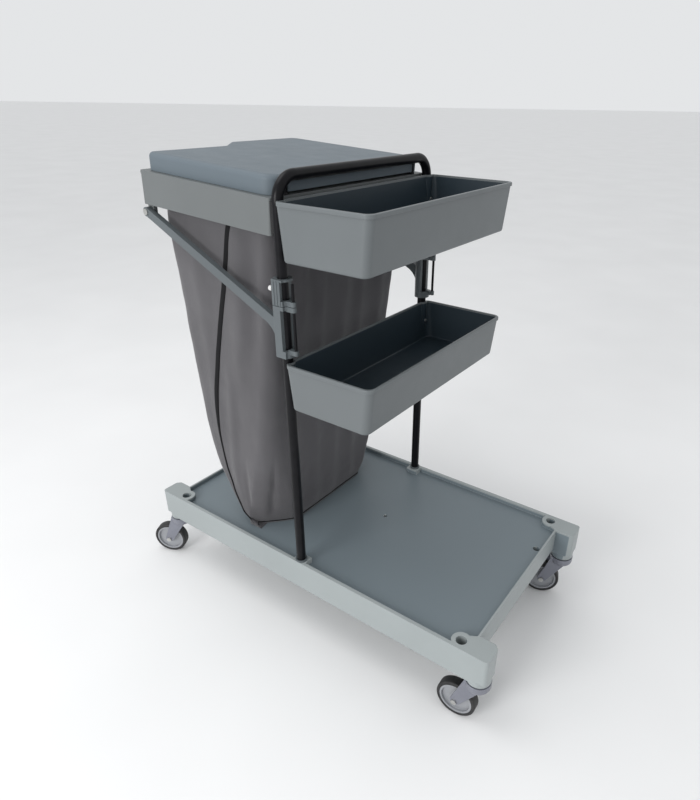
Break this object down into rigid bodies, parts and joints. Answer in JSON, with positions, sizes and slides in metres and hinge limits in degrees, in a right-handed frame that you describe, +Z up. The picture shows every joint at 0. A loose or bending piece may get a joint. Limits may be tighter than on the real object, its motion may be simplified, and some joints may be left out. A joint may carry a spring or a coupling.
{
  "type": "housekeeping cart",
  "caption": "Wheeled housekeeping cart: moulded platform on swivel casters, black tube loop, hinged-lid laundry bag in a braced frame, and open supply trays.",
  "frame": {"origin": "on the floor, under the middle of the cart's overall box", "axes": "+X from the bag end to the tray end, +Y to the left side, +Z up"},
  "size_m": [0.9886, 0.516, 1.0164],
  "materials": {
    "deck_plastic": "satin moulded grey plastic",
    "tray_plastic": "satin moulded grey plastic",
    "frame_plastic": "satin moulded grey plastic",
    "lid_plastic": "fine-grained moulded grey-blue plastic",
    "bracket_plastic": "satin moulded light grey plastic",
    "loop_enamel": "glossy black powder coat",
    "bag_cloth": "matt woven polyester, grey",
    "caster_grey": "light grey enamel",
    "hub_plastic": "light grey moulded plastic",
    "tyre_rubber": "black rubber",
    "zinc_steel": "zinc plated",
    "hinge_black": "black moulded plastic",
    "cap_white": "white moulded plastic",
    "bush_nylon": "natural nylon"
  },
  "bodies": {
    "cart": {"platform": "deck_plastic", "upright_loop": "loop_enamel", "bag_frame": "frame_plastic", "laundry_bag": "bag_cloth", "frame_screws": "zinc_steel", "upper_tray": "tray_plastic", "upper_tray_screws": "zinc_steel", "lower_tray": "tray_plastic", "lower_tray_screws": "zinc_steel", "upright_socket_right": "bracket_plastic", "frame_saddle_right": "hinge_black", "lid_hinge_bracket_right": "hinge_black", "lid_hinge_pin_right": "zinc_steel", "brace_right": "bracket_plastic", "upper_sleeve_right": "bracket_plastic", "brace_rod_right": "zinc_steel", "brace_pin_right": "zinc_steel", "sleeve_cap_right": "cap_white", "upright_socket_left": "bracket_plastic", "frame_saddle_left": "hinge_black", "lid_hinge_bracket_left": "hinge_black", "lid_hinge_pin_left": "zinc_steel", "brace_left": "bracket_plastic", "upper_sleeve_left": "bracket_plastic", "brace_rod_left": "zinc_steel", "brace_pin_left": "zinc_steel", "sleeve_cap_left": "cap_white", "caster_stems": "zinc_steel", "swivel_races": "hinge_black"},
    "fork_bag_right": {"caster_fork_bag_right": "caster_grey", "axle_bolt_bag_right": "zinc_steel", "axle_nut_bag_right": "zinc_steel"},
    "wheel_bag_right": {"wheel_hub_bag_right": "hub_plastic", "wheel_bush_bag_right": "bush_nylon", "wheel_tyre_bag_right": "tyre_rubber"},
    "fork_tray_right": {"caster_fork_tray_right": "caster_grey", "axle_bolt_tray_right": "zinc_steel", "axle_nut_tray_right": "zinc_steel"},
    "wheel_tray_right": {"wheel_hub_tray_right": "hub_plastic", "wheel_bush_tray_right": "bush_nylon", "wheel_tyre_tray_right": "tyre_rubber"},
    "fork_tray_left": {"caster_fork_tray_left": "caster_grey", "axle_bolt_tray_left": "zinc_steel", "axle_nut_tray_left": "zinc_steel"},
    "wheel_tray_left": {"wheel_hub_tray_left": "hub_plastic", "wheel_bush_tray_left": "bush_nylon", "wheel_tyre_tray_left": "tyre_rubber"},
    "fork_bag_left": {"caster_fork_bag_left": "caster_grey", "axle_bolt_bag_left": "zinc_steel", "axle_nut_bag_left": "zinc_steel"},
    "wheel_bag_left": {"wheel_hub_bag_left": "hub_plastic", "wheel_bush_bag_left": "bush_nylon", "wheel_tyre_bag_left": "tyre_rubber"},
    "lid": {"lid": "lid_plastic"}
  },
  "joints": [
    {"name": "lid_hinge", "type": "hinge", "parent": "cart", "child": "lid", "pos_m": [0.00667, 0.008, 0.98599], "axis": [0, 1, 0], "range_deg": [0, 90]},
    {"name": "swivel_bag_right", "type": "hinge", "parent": "cart", "child": "fork_bag_right", "pos_m": [-0.4117, -0.212, 0.122], "axis": [0, 0, 1], "continuous": true},
    {"name": "roll_bag_right", "type": "hinge", "parent": "fork_bag_right", "child": "wheel_bag_right", "pos_m": [-0.44734, -0.23016, 0.0425], "axis": [0.454, -0.891, 0], "continuous": true},
    {"name": "swivel_tray_right", "type": "hinge", "parent": "cart", "child": "fork_tray_right", "pos_m": [0.4683, -0.212, 0.122], "axis": [0, 0, 1], "continuous": true},
    {"name": "roll_tray_right", "type": "hinge", "parent": "fork_tray_right", "child": "wheel_tray_right", "pos_m": [0.42835, -0.21409, 0.0425], "axis": [0.0523, -0.9986, 0], "continuous": true},
    {"name": "swivel_tray_left", "type": "hinge", "parent": "cart", "child": "fork_tray_left", "pos_m": [0.4683, 0.228, 0.122], "axis": [0, 0, 1], "continuous": true},
    {"name": "roll_tray_left", "type": "hinge", "parent": "fork_tray_left", "child": "wheel_tray_left", "pos_m": [0.43071, 0.21432, 0.0425], "axis": [0.342, -0.9397, 0], "continuous": true},
    {"name": "swivel_bag_left", "type": "hinge", "parent": "cart", "child": "fork_bag_left", "pos_m": [-0.4117, 0.228, 0.122], "axis": [0, 0, 1], "continuous": true},
    {"name": "roll_bag_left", "type": "hinge", "parent": "fork_bag_left", "child": "wheel_bag_left", "pos_m": [-0.45109, 0.22105, 0.0425], "axis": [0.1736, -0.9848, 0], "continuous": true}
  ]
}
